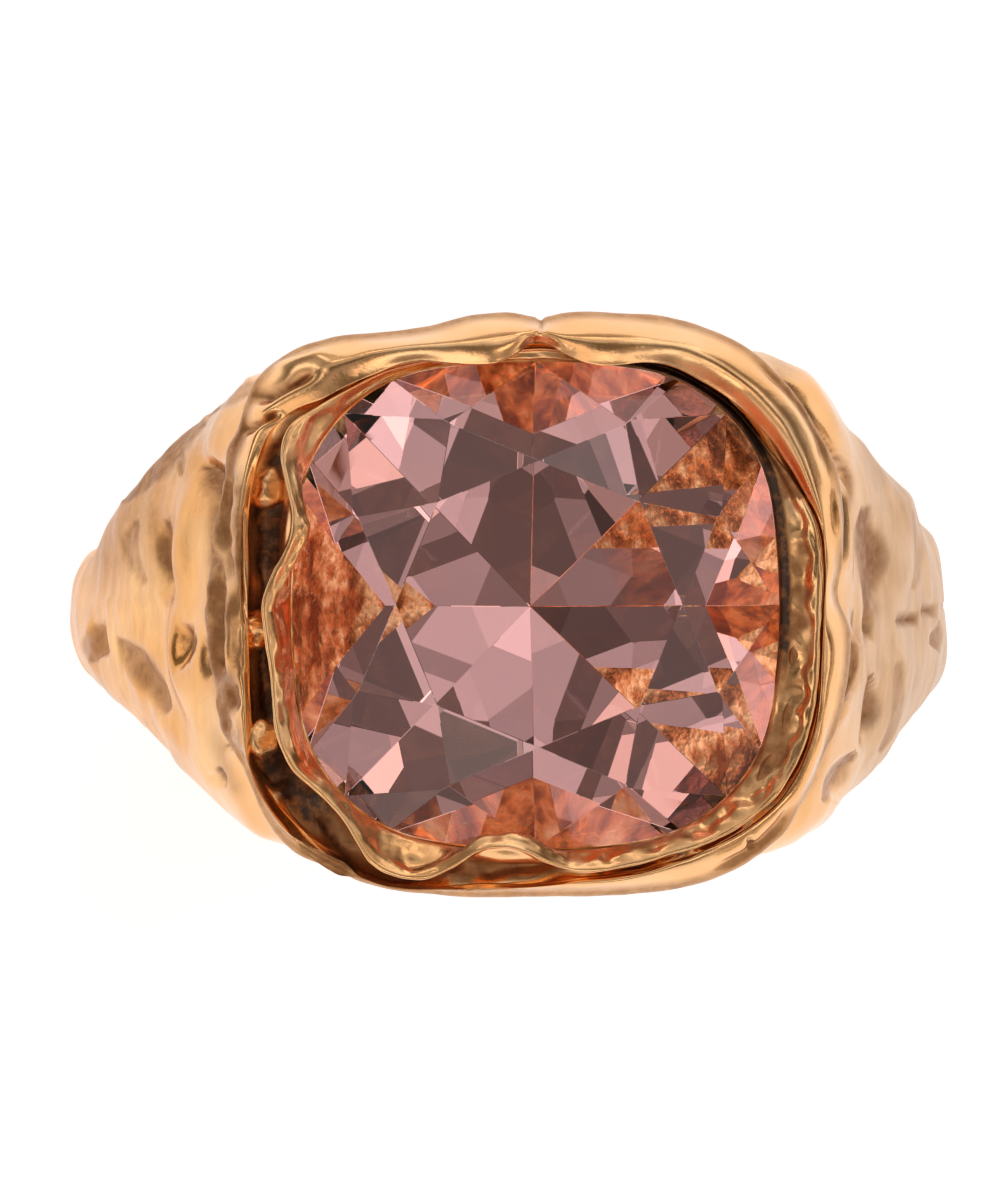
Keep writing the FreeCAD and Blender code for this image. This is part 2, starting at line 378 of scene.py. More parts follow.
def cast_gold(name, polish, matte):
    """Gold plate over a melted-looking casting: brown in its hollows, with painted shade in its grooves
    and shadowed places, matte on its shoulders.
    """
    recipe = Recipe(bpy.data.materials.new(name))
    clouds = recipe.noise(2.6, 3.0)
    grain = recipe.noise(0.13, 3.0, soft=0.65)
    speckle = recipe.noise(0.32, 4.0, soft=0.7)
    place = recipe.add("ShaderNodeSeparateXYZ", Vector=recipe.here()).outputs["X"]
    shoulder = recipe.spread(recipe.maths("ABSOLUTE", place, 0.0), 0.0, 1.0,
                             *(edge * MM for edge in SHOULDER_FROM))
    right = recipe.spread(place, 0.0, 1.0, *(edge * MM for edge in LEFT_TO_RIGHT))
    rubbed = recipe.mix(right, recipe.ramp(clouds, LEFT_GOLD), recipe.ramp(clouds, RIGHT_GOLD))
    tone = recipe.mix(shoulder, recipe.ramp(clouds, HEAD_GOLD), rubbed)
    darkening = recipe.add("ShaderNodeAttribute", {"attribute_name": "patina_and_shade"}).outputs["Fac"]
    dirt_and_shade = recipe.maths("MULTIPLY", darkening, recipe.spread(speckle, 0.75, 1.15, 0.35, 0.65))
    streaks = recipe.ramp(recipe.noise(0.30, 3.0, (1, 0.22, 0.6), 0.6), POLISH_STREAKS)
    streaked = recipe.mix(1.0, tone, streaks, "MULTIPLY")
    tone = recipe.mix(recipe.spread(shoulder, 0.0, 0.8), tone, streaked)
    # brown for patina and for painted shade, then black for painted shade in the groove and beside the
    # stone
    tone = recipe.mix(recipe.spread(dirt_and_shade, 0.0, 0.95), tone, DIRT_AND_SHADE_BROWN)
    tone = recipe.mix(recipe.spread(dirt_and_shade, 0.0, 1.0, 1.15, 1.75), tone, PAINTED_SHADE_BLACK)
    recipe.set(Base_Color=tone)
    recipe.set(Metallic=recipe.spread(dirt_and_shade, 1.0, 0.65))
    matting = recipe.maths("MULTIPLY", shoulder, recipe.spread(right, 0.6, 1.0))
    dulled = recipe.maths("ADD", recipe.spread(matting, polish, polish + matte),
                          recipe.spread(clouds, -0.05, 0.08, 0.35, 0.65))
    recipe.set(Roughness=recipe.maths("ADD", dulled, recipe.spread(dirt_and_shade, 0.0, 0.22)))
    fine = recipe.bump(grain, 0.010, 0.30)
    recipe.set(Normal=recipe.bump(speckle, 0.035, recipe.spread(shoulder, 0.15, 0.40), fine))
    return recipe.holder


def glowing_cup_gold(name, lump_mm, painted_glow, dark, warm, bright):
    """Crumpled gold inside the setting, seen through the stone, brightened by a painted glow that is
    strongest on its crests.
    """
    recipe = Recipe(bpy.data.materials.new(name))
    recipe.set(Metallic=1.0, Roughness=0.20)
    lumps = recipe.noise(lump_mm, 3.0, soft=0.62)
    tone = recipe.ramp(lumps, [(0.38, dark), (0.52, warm), (0.66, bright)])
    glowing_crests = recipe.ramp(lumps, [(0.42, (0.30, 0.30, 0.30)), (0.68, (1.0, 1.0, 1.0))])
    recipe.set(Base_Color=tone)
    # painted glow: the lining emits its own colour, most on its crests
    recipe.set(Emission_Color=recipe.mix(1.0, tone, glowing_crests, "MULTIPLY"))
    recipe.set(Emission_Strength=painted_glow)
    recipe.set(Normal=recipe.bump(lumps, 0.16, 1.0))
    return recipe.holder


def rose_crystal():
    """Clear rose glass."""
    recipe = Recipe(bpy.data.materials.new("rose_crystal"))
    recipe.set(Base_Color=(0.86, 0.455, 0.445, 1), Roughness=0.0, IOR=1.58,
               Transmission_Weight=1.0)
    return recipe.holder


def amber_cement():
    """Cement that shows the gold behind it."""
    recipe = Recipe(bpy.data.materials.new("amber_cement"))
    clouds = recipe.noise(0.6, 3.0)
    recipe.set(Base_Color=recipe.ramp(clouds, [
        (0.35, (0.55, 0.22, 0.06)), (0.65, (0.9, 0.5, 0.18))]))
    recipe.set(Metallic=0.6, Roughness=0.25)
    recipe.set(Normal=recipe.bump(clouds, 0.15, 0.6))
    return recipe.holder


# ---------------------------------------------------------------- shank

# degrees above the X axis, outer radius, half width towards -Y and towards +Y
LOWER_STATIONS = [(-90, 10.30, 2.25, 2.25), (-62, 10.40, 2.25, 2.25), (-36, 10.65, 2.22, 2.22)]
RIGHT_STATIONS = [
    (-12, 11.05, 2.2, 2.2), (8, 11.2, 2.35, 2.2), (24, 11.5, 3.05, 2.9), (38, 12.15, 4.15, 4),
    (50, 13.3, 5.2, 5.2), (60, 15, 6, 6.2), (68, 16, 6.15, 6.35), (74, 15.9, 5.85, 6)]
LEFT_STATIONS = [
    (-12, 11.05, 1.85, 1.8), (8, 11.2, 1.85, 1.7), (24, 11.5, 2.7, 2.9), (38, 12.15, 3.75, 4.25),
    (50, 13.3, 4.95, 5.3), (60, 15, 5.95, 5.95), (68, 16, 6.1, 6.1), (74, 15.9, 5.8, 5.9)]
BAND_TURNS = (72, -12, -168, -252)  # degrees at its ends and where its shoulders start
SHANK_COLUMNS = 500
SHANK_ROWS = 192
SHOULDER_SHARE = 0.41        # of the columns, on each shoulder
ROWS_TO_EDGES = 0.03         # share of the rows drawn towards the band's edges
ROWS_TO_TOP = 0.065          # share of the rows drawn towards the band's outside
SECTION_POWER = ((0, 90), (3.4, 2.6))  # squareness by degrees round from the bottom


def shank_shape(u, v):
    """Points of the band: u from the right shoulder, under the finger, to the left."""
    right = list(reversed(LOWER_STATIONS + RIGHT_STATIONS))
    left = [(-180 - a, *sizes) for a, *sizes in (LOWER_STATIONS + LEFT_STATIONS)[1:]]
    stations = np.array(right + left)
    turn = np.interp(u, [0, SHOULDER_SHARE, 1 - SHOULDER_SHARE, 1], BAND_TURNS)
    outer, half_down, half_up = smooth_through(-stations[:, 0], stations[:, 1:], -turn).T
    thick = outer - BORE_R
    swing = FULL_TURN * (v + ROWS_TO_EDGES * np.sin(2 * FULL_TURN * v)
                         + ROWS_TO_TOP * np.sin(FULL_TURN * v))
    across = -np.sin(swing)
    up = -np.cos(swing)
    power = 2 / np.interp(np.abs(turn + 90), *SECTION_POWER)
    half = np.where(across > 0, half_up, half_down)
    y = half * np.sign(across) * np.abs(across) ** power
    height = np.sign(up) * np.abs(up) ** power
    radius = BORE_R + thick * (0.5 + 0.5 * height)
    closing = np.clip(np.minimum(u, 1 - u) * SHANK_COLUMNS, 0, 1)
    middle = BORE_R + thick / 2
    y = y * closing
    radius = middle + (radius - middle) * closing
    angle = np.radians(turn)
    return np.stack([radius * np.cos(angle), y, radius * np.sin(angle)], axis=1)


# where the right shoulder meets the head, as seen from above
UPPER_SEAM = [(5.9, 5.7), (6.6, 4.6), (7.25, 3.7), (7.66, 3.1), (7.68, 2.2)]
LOWER_SEAM = [(7.82, -0.45), (7.82, -1.5), (7.45, -2.4), (7, -3), (6.6, -4)]

# hand-worked marks on the shoulders, as seen from above: path, half width, height
SHOULDER_STROKES = [
    # right shoulder
    ([(8.3, 2.4), (8.42, 1.2), (8.38, -0.3)], 0.26, -0.2),
    ([(8.3, -1.8), (8.25, -2.7), (8, -3.5)], 0.18, -0.26),
    ([(7.75, -3.8), (7.3, -4.8)], 0.16, -0.22),
    ([(8.15, -0.2), (8.25, -0.8)], 0.15, -0.22),
    ([(7.8, -0.33), (8.45, -0.16), (9.15, -0.4), (9.6, -0.16), (10.3, 0.04)], 0.07, -0.12),
    ([(9.82, -0.6), (9.8, -1.1)], 0.14, -0.16),
    ([(7.45, 3.1), (7.5, 1.9), (7.45, 0.6)], 0.18, 0.26),
    ([(7.85, 2.6), (7.9, 1.4), (7.85, 0.2)], 0.14, -0.14),
    ([(9, 3.2), (8.95, 1.6), (9.1, 0.2)], 0.36, 0.18),
    ([(9, -0.9), (8.9, -2.2), (8.3, -3.9)], 0.34, 0.18),
    ([(7.5, -0.5), (7.6, -1.6), (7.3, -2.9)], 0.26, 0.3),
    (LOWER_SEAM, 0.14, -0.34),
    (UPPER_SEAM, 0.15, -0.34),
    ([(6.4, 5.7), (7.2, 4.6), (7.8, 3.4)], 0.24, 0.16),
    # left shoulder
    ([(-7.8, 3.6), (-7.85, 1.5), (-7.8, -0.5), (-7.75, -2.6)], 0.3, -0.3),
    ([(-8.4, 4), (-8.5, 2), (-8.75, 0.2), (-8.7, -1.6), (-8.1, -3.6)], 0.3, 0.26),
    ([(-8.15, 3.7), (-7.95, 3), (-7.6, 2.3)], 0.28, -0.34),
    ([(-9.15, 2.1), (-9, 1), (-8.85, 0)], 0.24, -0.22),
    ([(-8.62, -0.5), (-8.62, -1.6)], 0.13, -0.34),
    ([(-8.15, -0.8), (-8.05, -1.85)], 0.13, -0.36),
    ([(-10.1, -0.9), (-9.6, -1.7), (-9, -2.6)], 0.24, -0.22),
    ([(-10.75, -0.4), (-10.6, -1.35)], 0.18, -0.22),
    ([(-11, 0.1), (-10, 0), (-9.3, 0.3), (-8.9, 0)], 0.16, 0.14),
    ([(-9, 4.4), (-9.7, 2.6), (-10.1, 1)], 0.5, 0.1),
    ([(-7.7, -4.5), (-8.6, -3.4), (-9.4, -2.5)], 0.35, 0.14),
    ([(-7.5, -3.1), (-7.6, -3.6)], 0.16, -0.24),
    ([(-7.9, -4.1), (-7.6, -4.5)], 0.14, -0.2),
]

# brown left in the hollows by the polishing, and painted shade over the left shoulder's upper flank:
# path, half width, strength
SHOULDER_PATINA_AND_SHADE = [
    ([(9, 3), (8.9, 1.2), (9, 0.1)], 0.24, 0.14),
    ([(7.5, 5), (8.3, 3.6), (8.6, 2.6)], 0.4, 0.2),
    (UPPER_SEAM, 0.14, 1),
    (LOWER_SEAM, 0.13, 1),
    ([(7.05, 3.2), (7.12, 1.6), (7.05, 0)], 0.1, 0.8),
    ([(7.45, -0.8), (7.35, -2.4), (6.9, -3.9), (6.3, -5.1)], 0.3, 0.38),
    ([(4.4, 6.9), (5.6, 6.3), (6.5, 5.4)], 0.42, 0.34),
    ([(-7.8, 3.6), (-7.85, 1.5), (-7.8, -0.5), (-7.75, -2.8)], 0.34, 0.55),
    # painted shade: the left shoulder's upper flank, drawn brown as if turned away from the light
    ([(-7.2, 5.4), (-8.6, 4.4), (-9.7, 2.9), (-10.5, 1.4), (-11, 0.2)], 1, 0.5),
    ([(-9.2, 2.6), (-9.25, 1.4), (-9, 0.2)], 0.5, 0.3),
    ([(-7.9, -2.9), (-7.6, -4), (-7.2, -4.8)], 0.25, 0.42),
]

# leaf-shaped dents with brown floors: path, half width, strength
SHOULDER_LEAVES = [
    ([(8.12, 2.3), (8.3, 1.2), (8.16, -0.2)], 0.33, 1),
    ([(8.2, -1.8), (8.22, -2.5), (8, -3.3)], 0.21, 1),
    ([(7.72, -3.7), (7.42, -4.2), (7.1, -4.75)], 0.24, 0.85),
    ([(8.12, -0.25), (8.2, -0.8)], 0.18, 1),
    ([(6, 5.5), (6.3, 5.1), (6.55, 4.7)], 0.2, 0.75),
    ([(9.9, -0.5), (9.9, -1.1)], 0.15, 0.65),
    ([(7.75, -0.42), (8.05, -0.22), (8.45, -0.16), (9.15, -0.42), (9.6, -0.16),
      (10.3, 0.04)], 0.085, 0.9),
    ([(7.62, 2.9), (7.68, 2.2), (7.6, 1.4)], 0.13, 0.9),
    ([(9.05, 2.2), (9.35, 1.2), (9.25, 0.4)], 0.16, 0.35),
    ([(8.75, -1.4), (8.72, -2.6), (8.4, -3.5)], 0.14, 0.45),
    ([(-8.98, 2), (-9, 1.2), (-8.8, 0.4)], 0.26, 0.85),
    ([(-9.9, 2.6), (-9.2, 3.6), (-8.3, 4.5)], 0.42, 0.45),
    ([(-8.2, 4.75), (-7.6, 5.1), (-6.9, 5.35)], 0.3, 0.55),
    ([(-9.6, 0.6), (-9.9, 1.3), (-9.7, 2)], 0.22, 0.35),
    ([(-8.52, -0.55), (-8.48, -1.35)], 0.17, 1),
    ([(-8.05, -0.8), (-7.95, -1.75)], 0.17, 1),
    ([(-10.15, -0.9), (-9.7, -1.5), (-9.05, -2.55)], 0.34, 0.75),
    ([(-10.85, -0.6), (-10.8, -1.35)], 0.24, 0.75),
    ([(-8.15, 3.35), (-7.8, 2.9), (-7.5, 2.4)], 0.36, 0.85),
    ([(-7.75, -4), (-7.6, -4.4)], 0.12, 0.85),
    ([(-7.5, -3), (-7.4, -3.4)], 0.16, 0.95),
    ([(-8.75, 3.9), (-8.6, 3.2)], 0.12, 0.5),
]


END_COVER = (0.10, 0.45)     # inside the border's edge, where the band's ends tuck under
END_DROP = 0.2               # of the tucked ends below the stone's seat
END_THICK = 0.4              # of the band left under the open middle of the head
END_MARGIN = 0.25            # of that thin part, past the middle's edge
MARKS_Z = 3.0                # height from which the shoulders' marks are full
LEAF_DENT = 0.12             # depth of the leaf-shaped dents


def under_head(points):
    """Keep the band's ends inside the head's casting, below the stone's seat."""
    x, y, z = points.T
    away = reach_of(points)
    covered = rising(reach_beside(FRAME_OUTSIDE, points) - away, *END_COVER)
    z = z - covered * np.maximum(0, z - (SEAT_Z - END_DROP))
    radius = np.maximum(np.hypot(x, z), 1e-6)
    middle = (away < INNER_SEAT_R + END_MARGIN) & (z > 0)
    thinned = np.where(middle, np.minimum(1, (BORE_R + END_THICK) / radius), 1)
    return np.stack([x * thinned, y, z * thinned], axis=1)


def make_shank(gold):
    """The band and its two shoulders."""
    bm = rolled_skin(SHANK_COLUMNS, SHANK_ROWS, shank_shape)
    points, normals = read_points(bm)
    outside = rising(np.hypot(points[:, 0], points[:, 2]) - BORE_R, 0.2, 1.2)
    stains = leaves(points, SHOULDER_LEAVES)
    marks = worked(points, SHOULDER_STROKES) - LEAF_DENT * stains
    lumps = 0.15 * rough(points, 2.4, 1) + 0.07 * rough(points, 0.9, 2, (1.3, 0.6, 1))
    height = (marks * rising(points[:, 2], 0, MARKS_Z) + lumps) * outside
    points = clear_bore(under_head(points + normals * height[:, None]))
    write_points(bm, points)
    mottled = 0.95 + 0.25 * rough(points, 0.3, 16)
    # patina in the dents and seams, and painted shade on the left shoulder's upper flank
    patina_and_shade = np.clip(worked(points, SHOULDER_PATINA_AND_SHADE) + stains * mottled, 0, 1)
    patina_and_shade *= outside * rising(points[:, 2], 0, MARKS_Z)
    return as_piece(bm, "shank_casting", gold, "shank", patina_and_shade)


# ---------------------------------------------------------------- head

# crest of the collar's wavy lip, round the stone from the right
LIP_CREST = [
    (6.92, 0, 15.66), (6.95, 1, 15.66), (6.8, 2, 15.6), (6.26, 3.05, 15.4), (5.5, 4.05, 15.15),
    (4.8, 4.86, 15.1), (4.05, 5.4, 15.1), (3.3, 5.78, 15.12), (2.4, 6.02, 15.2), (1.4, 6.1, 15.3),
    (0.1, 6.26, 15.5), (-1.4, 6.1, 15.3), (-2.6, 5.98, 15.3), (-3.6, 5.74, 15.4), (-4.5, 5.32, 15.5),
    (-5.3, 4.85, 15.65), (-5.95, 4.4, 15.8), (-6.22, 3.6, 15.85), (-6.1, 2.95, 15.9), (-5.97, 2.3, 15.95),
    (-6, 1.75, 15.95), (-6.2, 1.2, 15.9), (-6.5, 0.6, 15.85), (-6.68, 0, 15.85), (-6.62, -0.7, 15.9),
    (-6.5, -1.6, 15.9), (-6.42, -2.6, 15.85), (-6.28, -3.35, 15.85), (-5.95, -4, 15.85),
    (-5.3, -4.62, 15.8), (-4.75, -5.2, 15.75), (-4.4, -5.75, 15.7), (-4.05, -6.25, 15.65),
    (-3.45, -6.6, 15.6), (-2.7, -6.66, 15.6), (-2.1, -6.42, 15.7), (-1.5, -6.05, 15.85),
    (-0.9, -5.93, 15.9), (-0.3, -6.03, 15.85), (0.3, -6.3, 15.7), (0.9, -6.48, 15.6), (1.7, -6.46, 15.6),
    (2.5, -6.3, 15.6), (3.2, -6.1, 15.62), (3.9, -5.9, 15.62), (4.6, -5.6, 15.6), (5.2, -5.22, 15.6),
    (5.85, -4.64, 15.6), (6.27, -4.02, 15.6), (6.57, -3.32, 15.6), (6.78, -2.4, 15.62),
    (6.88, -1.3, 15.64)]

# inner edge of the frame: lobes over the stone at the top, open slot on the left
FRAME_EDGE = [
    (7.02, 0, 15.42), (7.04, 1, 15.42), (6.9, 2, 15.45), (6.38, 3.05, 15.42), (5.62, 4.18, 15.42),
    (4.88, 4.92, 15.42), (4.1, 5.46, 15.5), (3.4, 5.8, 15.62), (2.7, 5.9, 15.75), (2.1, 5.86, 15.8),
    (1.6, 5.84, 15.82), (1.05, 5.95, 15.8), (0.6, 6.15, 15.72), (0.2, 6.38, 15.6), (-0.1, 6.4, 15.58),
    (-0.5, 6.15, 15.7), (-0.9, 5.95, 15.78), (-1.6, 5.87, 15.8), (-2.2, 5.9, 15.8), (-2.8, 5.95, 15.76),
    (-3.4, 5.85, 15.7), (-4, 5.62, 15.65), (-4.7, 5.32, 15.6), (-5.3, 5, 15.5), (-5.9, 4.75, 15.3),
    (-6.42, 4.3, 15.1), (-6.72, 3.7, 14.9), (-6.9, 3, 14.7), (-7, 2, 14.6), (-7.02, 1, 14.6),
    (-7.02, 0, 14.6), (-6.98, -1, 14.6), (-6.96, -2, 14.6), (-6.92, -3, 14.6), (-6.82, -3.9, 14.6),
    (-6.55, -4.5, 14.6), (-6.1, -5.1, 14.6), (-5.5, -5.7, 14.6), (-4.9, -6.2, 14.6), (-4.3, -6.6, 14.65),
    (-3.6, -6.82, 14.7), (-2.6, -6.88, 14.75), (-1.5, -6.84, 14.75), (-0.5, -6.82, 14.75),
    (0.3, -6.76, 14.85), (1, -6.66, 15), (1.8, -6.6, 15.1), (2.6, -6.46, 15.15), (3.3, -6.24, 15.3),
    (4, -6.04, 15.4), (4.8, -5.66, 15.42), (5.45, -5.24, 15.42), (6.02, -4.7, 15.42),
    (6.42, -4.07, 15.42), (6.73, -3.3, 15.42), (6.9, -2.5, 15.42), (6.98, -1.3, 15.42)]

# ridge of the rolled border
FRAME_RIDGE = [
    (7.22, 0, 15.3), (7.24, 1.2, 15.35), (7.05, 2.2, 15.55), (6.7, 3.2, 15.7), (6.1, 4.4, 15.8),
    (5.25, 5.35, 15.85), (4.45, 5.95, 15.9), (3.6, 6.35, 15.95), (2.8, 6.5, 16), (1.6, 6.55, 16),
    (0.6, 6.62, 15.92), (0, 6.72, 15.8), (-0.6, 6.6, 15.9), (-1.8, 6.45, 16), (-3, 6.35, 15.95),
    (-4.2, 6.15, 15.85), (-5.1, 5.9, 15.7), (-6, 5.5, 15.45), (-6.65, 4.8, 15.15), (-7, 3.9, 14.95),
    (-7.2, 2.8, 14.78), (-7.3, 1.5, 14.66), (-7.34, 0, 14.62), (-7.3, -1.5, 14.64), (-7.2, -2.8, 14.72),
    (-7.02, -4, 14.85), (-6.7, -4.75, 14.95), (-6.2, -5.45, 15.05), (-5.5, -6.05, 15.1),
    (-4.7, -6.5, 15.1), (-3.7, -6.88, 15.05), (-2.2, -6.98, 14.95), (-0.6, -6.96, 14.95),
    (0.8, -6.86, 15.1), (2, -6.76, 15.25), (3.2, -6.5, 15.35), (4.2, -6.2, 15.4), (5.1, -5.8, 15.4),
    (5.9, -5.2, 15.4), (6.5, -4.5, 15.4), (6.95, -3.5, 15.4), (7.15, -2.4, 15.42), (7.3, -1.1, 15.4)]

# outer edge of the border, where it folds over or meets the shoulders
FRAME_OUTSIDE = [
    (7.5, 0.1, 14.5), (7.5, 1, 14.45), (7.6, 2.2, 14.6), (7.4, 3.3, 14.8), (6.85, 4.5, 15),
    (6.1, 5.5, 15), (5.1, 6.4, 14.9), (4, 6.86, 14.8), (2.9, 7.12, 14.8), (1.9, 7.2, 14.8),
    (0.7, 7.18, 14.8), (0.1, 7.08, 14.75), (-0.5, 7.18, 14.8), (-1.3, 7.16, 14.8), (-2.6, 6.85, 14.8),
    (-3.8, 6.7, 14.8), (-5, 6.56, 14.7), (-6, 6.22, 14.5), (-6.85, 5.5, 14.1), (-7.3, 4.2, 14),
    (-7.7, 2.6, 13.6), (-7.95, 1.3, 13.3), (-8, 0, 13.2), (-7.92, -1.6, 13.3), (-7.62, -3, 13.6),
    (-7.05, -4.2, 14), (-6.6, -5.2, 14.1), (-6, -5.95, 14.2), (-5.1, -6.45, 14.2), (-4.1, -6.84, 14.2),
    (-2.6, -7.1, 14.2), (-1, -7.18, 14.2), (0.6, -7.16, 14.3), (2.5, -7.06, 14.4), (4, -6.86, 14.5),
    (5, -6.46, 14.6), (5.8, -5.9, 14.6), (6.5, -5.1, 14.6), (7.1, -3.9, 14.6), (7.5, -2.7, 14.6),
    (7.75, -1.35, 14.6), (7.75, -0.5, 14.55)]

INNER_SEAT_R = 4.75          # the open middle of the head, under the stone
SEAT_Z = 12.35               # floor of the setting, under the seat ledge
FOOT_Z = 8.3                 # bottom of the head, inside the shank
WAIST_Z = 11.5
WAIST_SHARE = 0.95           # the head's outline at these heights, as a share of its top
HEEL_SHARE = 0.9016
FOOT_SHARE = 0.8464


def moved_line(line, out, up, shares=None):
    """The line moved away from the stone's axis and up, by a share of out at each turn."""
    moved = []
    for x, y, z in line:
        grow = 1 + out * (at_turn(shares, x, y) if shares else 1) / math.hypot(x, y)
        moved.append((x * grow, y * grow, z + up))
    return moved


def shrunk_line(line, share, z):
    """The line's plan at a share of its size and at one height."""
    return [(x * share, y * share, z) for x, y, _ in line]


def circle_line(radius, z, count=16):
    """A level circle round the stone's axis."""
    angles = [FULL_TURN * step / count for step in range(count)]
    return [(radius * math.cos(a), radius * math.sin(a), z) for a in angles]


def stone_line(out, z, steps=6):
    """The stone's cushion outline grown by out: four bowed sides and four round corners."""
    rise = STONE_SIDE_R - STONE_HALF
    run = STONE_SIDE_R - STONE_DIAG
    centre = (rise ** 2 - run ** 2) / (2 * math.sqrt(2) * run - 2 * rise)
    corner_r = STONE_DIAG - centre * math.sqrt(2)
    turn = math.atan2(centre, centre + rise)
    line = []
    for quarter in range(4):
        base = quarter * math.pi / 2
        arcs = [(-rise, 0, STONE_SIDE_R + out, -turn, turn),
                (centre, centre, corner_r + out, turn, math.pi / 2 - turn)]
        for mid_x, mid_y, radius, start, end in arcs:
            for step in range(steps):
                angle = start + (end - start) * step / steps
                x = mid_x + radius * math.cos(angle)
                y = mid_y + radius * math.sin(angle)
                line.append((x * math.cos(base) - y * math.sin(base),
                             x * math.sin(base) + y * math.cos(base), z))
    return line


# degrees round the stone and the height of the groove between border and collar
GROOVE_FLOOR = [
    (0, 15.3), (45, 15), (90, 15.2), (125, 15.2), (143, 14.9), (153, 14.2), (165, 13.8), (185, 13.9),
    (205, 13.8), (215, 14.2), (227, 14.75), (245, 14.75), (262, 14.5), (275, 14.6), (292, 15.1),
    (320, 15.25), (340, 15.3)]
GROOVE_DIP = 0.06            # of the groove's floor, halfway across


def groove_line(out):
    """The groove's floor, along a line beside the stone."""
    return [(x, y, at_turn(GROOVE_FLOOR, x, y)) for x, y, _ in stone_line(out, 0)]


def groove_middle(out):
    """The groove's floor, halfway from a line beside the stone to the frame's edge."""
    line = groove_line(out)
    turns = turn_of(line)
    edge = around_stone(FRAME_EDGE, turns)[:, 0]
    return [((x + reach * math.cos(turn)) / 2, (y + reach * math.sin(turn)) / 2, z - GROOVE_DIP)
            for (x, y, z), turn, reach in zip(line, turns, edge)]


def frame_shape(u, v):
    """The head: up its open middle, over the border and down its outside."""
    rows = [
        (circle_line(INNER_SEAT_R, FOOT_Z), 0.8),
        (circle_line(INNER_SEAT_R, SEAT_Z), 0.8),
        (stone_line(0.25, SEAT_Z + 0.1), 0.6),
        (groove_line(0.30), 0.6),
        (groove_middle(0.45), 0.0),
        (moved_line(FRAME_EDGE, 0.03, -0.30), 0.2),
        (FRAME_EDGE, 0.1),
        (moved_line(FRAME_EDGE, 0.06, 0.10), 0.1),
        (FRAME_RIDGE, 0.0),
        (moved_line(FRAME_OUTSIDE, -0.14, 0.35), 0.1),
        (FRAME_OUTSIDE, 0.1),
        (moved_line(FRAME_OUTSIDE, -0.10, -0.75), 0.2),
        (shrunk_line(FRAME_OUTSIDE, WAIST_SHARE, WAIST_Z), 0.0),
        (shrunk_line(FRAME_OUTSIDE, HEEL_SHARE, FOOT_Z + 0.6), 0.4),
        (shrunk_line(FRAME_OUTSIDE, FOOT_SHARE, FOOT_Z), 0.7),
    ]
    return sections(rows, u, v)


# hand-worked marks on the border, as seen from above: path, half width, height
FRAME_STROKES = [
    # border's crease at the top, folds and pockets around it
    ([(0.05, 7.25), (0.15, 6.85), (0.05, 6.6)], 0.09, -0.09),
    ([(-6.95, 5), (-6.2, 5.35), (-5.4, 5.75)], 0.2, -0.36),
    ([(-6.5, 5.7), (-5.8, 5.95), (-5, 6.2)], 0.16, 0.14),
    ([(-7.15, 4.25), (-6.8, 4.5), (-6.3, 4.65)], 0.12, -0.32),
    ([(-6.9, -3.5), (-6.55, -4.1), (-6.25, -4.5)], 0.2, -0.24),
    ([(5.2, 6.1), (6.2, 5.2), (6.9, 4.2), (7.2, 3)], 0.14, -0.1),
    ([(-6.2, -4.7), (-5.9, -5.1), (-5.45, -5.65)], 0.12, 0.16),
    ([(-6, -5.6), (-5.2, -6.2), (-4.4, -6.6)], 0.2, -0.16),
    ([(-2, -6.95), (-0.4, -6.98)], 0.07, -0.08),
    ([(2.9, -6.12), (3.9, -6)], 0.16, -0.34),
    ([(4.3, -6.5), (5.2, -6.1), (5.9, -5.5), (6.3, -4.9)], 0.13, -0.12),
    ([(5.35, -6.1), (5.25, -5.7)], 0.1, -0.14),
    ([(6.2, -5.6), (6.9, -4.4), (7.3, -3)], 0.13, -0.1),
    ([(7.35, 2.9), (7.4, 1.6), (7.35, 0.5)], 0.12, 0.12),
    # worn band beside the slot
    ([(-7.14, 2.4), (-7.22, 1.2), (-7.12, -0.4)], 0.06, -0.14),
    ([(-7.5, 3.4), (-7.62, 1.8), (-7.5, 0.4)], 0.14, -0.22),
    ([(-7.8, 1.2), (-7.75, -0.6), (-7.7, -1.9)], 0.16, -0.24),
    ([(-7.5, 0.2), (-7.45, -0.9), (-7.55, -1.8)], 0.12, 0.18),
    ([(-7.45, -1.9), (-7.4, -2.6)], 0.14, -0.2),
]


FRAME_COLUMNS = 620
FRAME_ROWS = 150
BORDER_R = (5.5, 6.3)        # from the stone's axis, where the border's lumps start
BORDER_MARKS_Z = (12.6, 13.8)
GROOVE_Z = (13.2, 13.6)      # the groove's rough floor starts above this
BAND_X = (-7.05, -7.30)      # the worn band beside the slot, and its lowest height
BAND_Z = 11.0
FLANK_Z = 10.5               # brown flank under the border, above this height
CUP_MARGIN = (0.35, 0.3)     # of the cup's lining, past the seat's radius and height


